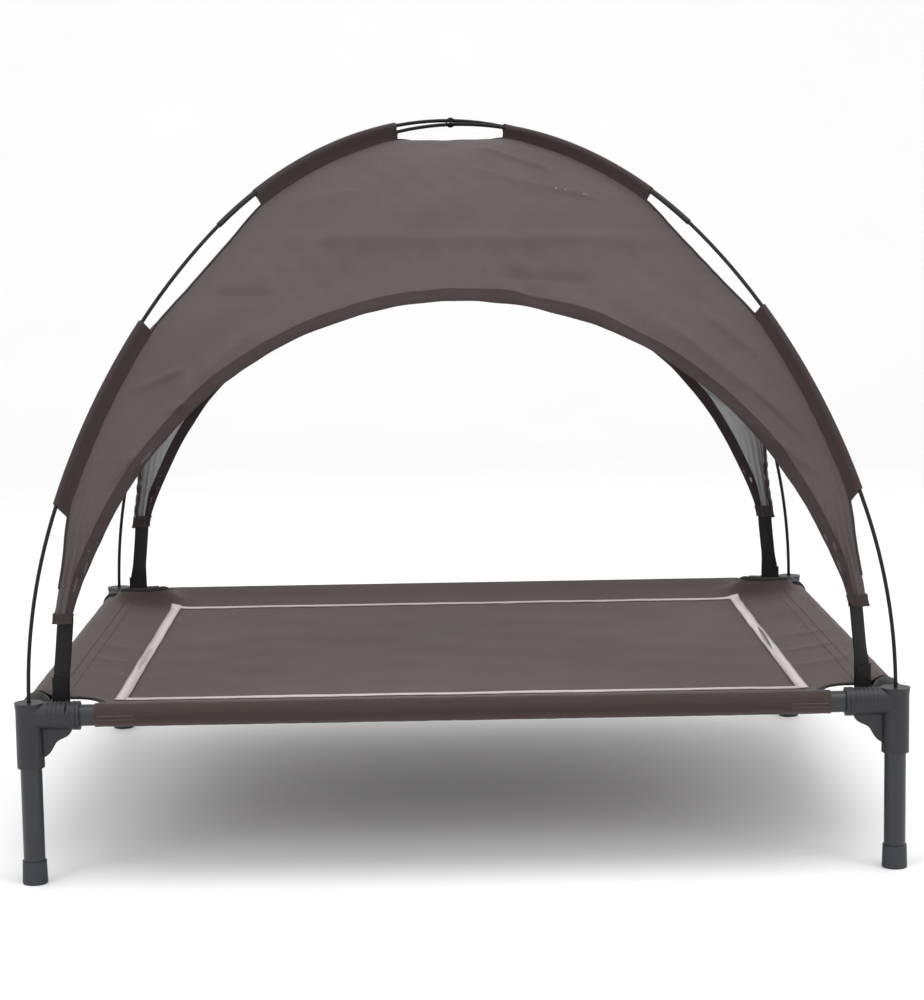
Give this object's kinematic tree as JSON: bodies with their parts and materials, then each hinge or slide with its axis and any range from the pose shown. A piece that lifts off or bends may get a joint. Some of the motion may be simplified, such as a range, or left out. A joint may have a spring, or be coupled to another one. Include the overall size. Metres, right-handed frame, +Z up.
{
  "type": "raised dog bed with canopy",
  "caption": "Raised mesh sling on a knock-down tube frame with plastic corner connectors, under an arched cloth canopy on two crossing poles that lifts off.",
  "frame": {"origin": "on the ground at the middle of the four feet", "axes": "+X right along the long front side, +Y to the rear, +Z up"},
  "size_m": [0.912, 0.762, 0.78],
  "materials": {
    "connector_plastic": "fine moulded charcoal",
    "tube_steel": "charcoal powder coat",
    "foot_rubber": "matt moulded",
    "sling_mesh": "coated open weave, taupe",
    "binding_tape": "narrow woven binding, dark brown",
    "reflective_film": "silver reflective film",
    "canopy_cloth": "plain-weave polyester, brown outside, silver coated inside",
    "edge_cloth": "plain-weave polyester, darker brown, stitched",
    "ferrule_metal": "black lacquer",
    "pole_fibreglass": "black pultruded rod, satin",
    "elastic": "braided elastic",
    "webbing": "black woven webbing"
  },
  "bodies": {
    "frame": {"bed_sling": "sling_mesh", "corner_connector_front_left": "connector_plastic", "corner_connector_front_right": "connector_plastic", "corner_connector_rear_left": "connector_plastic", "corner_connector_rear_right": "connector_plastic", "front_rail": "tube_steel", "left_rail": "tube_steel", "notch_bindings": "binding_tape", "rear_rail": "tube_steel", "reflective_tape": "reflective_film", "right_rail": "tube_steel", "strap_anchor_loops": "webbing"},
    "canopy": {"arch_hem_front": "edge_cloth", "arch_hem_left": "edge_cloth", "arch_hem_rear": "edge_cloth", "arch_hem_right": "edge_cloth", "canopy_panel_front": "canopy_cloth", "canopy_panel_left": "canopy_cloth", "canopy_panel_rear": "canopy_cloth", "canopy_panel_right": "canopy_cloth", "canopy_strap_front_left": "webbing", "canopy_strap_front_right": "webbing", "canopy_strap_rear_left": "webbing", "canopy_strap_rear_right": "webbing", "end_pocket_front_left": "edge_cloth", "end_pocket_front_right": "edge_cloth", "end_pocket_rear_left": "edge_cloth", "end_pocket_rear_right": "edge_cloth", "lower_pole_ferrules": "ferrule_metal", "lower_pole_front_section": "pole_fibreglass", "lower_pole_middle_section": "pole_fibreglass", "lower_pole_rear_section": "pole_fibreglass", "lower_pole_shock_cord": "elastic", "lower_pole_sleeve_front_left": "edge_cloth", "lower_pole_sleeve_front_right": "edge_cloth", "lower_pole_sleeve_rear_left": "edge_cloth", "lower_pole_sleeve_rear_right": "edge_cloth", "pole_crossing_tie": "elastic", "upper_pole_ferrules": "ferrule_metal", "upper_pole_front_section": "pole_fibreglass", "upper_pole_middle_section": "pole_fibreglass", "upper_pole_rear_section": "pole_fibreglass", "upper_pole_shock_cord": "elastic", "upper_pole_sleeve_front_left": "edge_cloth", "upper_pole_sleeve_front_right": "edge_cloth", "upper_pole_sleeve_rear_left": "edge_cloth", "upper_pole_sleeve_rear_right": "edge_cloth"},
    "leg_front_left": {"leg_tube_front_left": "tube_steel", "foot_cap_front_left": "foot_rubber"},
    "leg_front_right": {"leg_tube_front_right": "tube_steel", "foot_cap_front_right": "foot_rubber"},
    "leg_rear_right": {"leg_tube_rear_right": "tube_steel", "foot_cap_rear_right": "foot_rubber"},
    "leg_rear_left": {"leg_tube_rear_left": "tube_steel", "foot_cap_rear_left": "foot_rubber"}
  },
  "joints": [
    {"name": "canopy_lift_off", "type": "slide", "parent": "frame", "child": "canopy", "axis": [0, 0, 1], "range_m": [0, 0.15]},
    {"name": "leg_pull_out_front_left", "type": "slide", "parent": "frame", "child": "leg_front_left", "axis": [0, 0, -1], "range_m": [0, 0.045]},
    {"name": "leg_pull_out_front_right", "type": "slide", "parent": "frame", "child": "leg_front_right", "axis": [0, 0, -1], "range_m": [0, 0.045]},
    {"name": "leg_pull_out_rear_right", "type": "slide", "parent": "frame", "child": "leg_rear_right", "axis": [0, 0, -1], "range_m": [0, 0.045]},
    {"name": "leg_pull_out_rear_left", "type": "slide", "parent": "frame", "child": "leg_rear_left", "axis": [0, 0, -1], "range_m": [0, 0.045]}
  ]
}
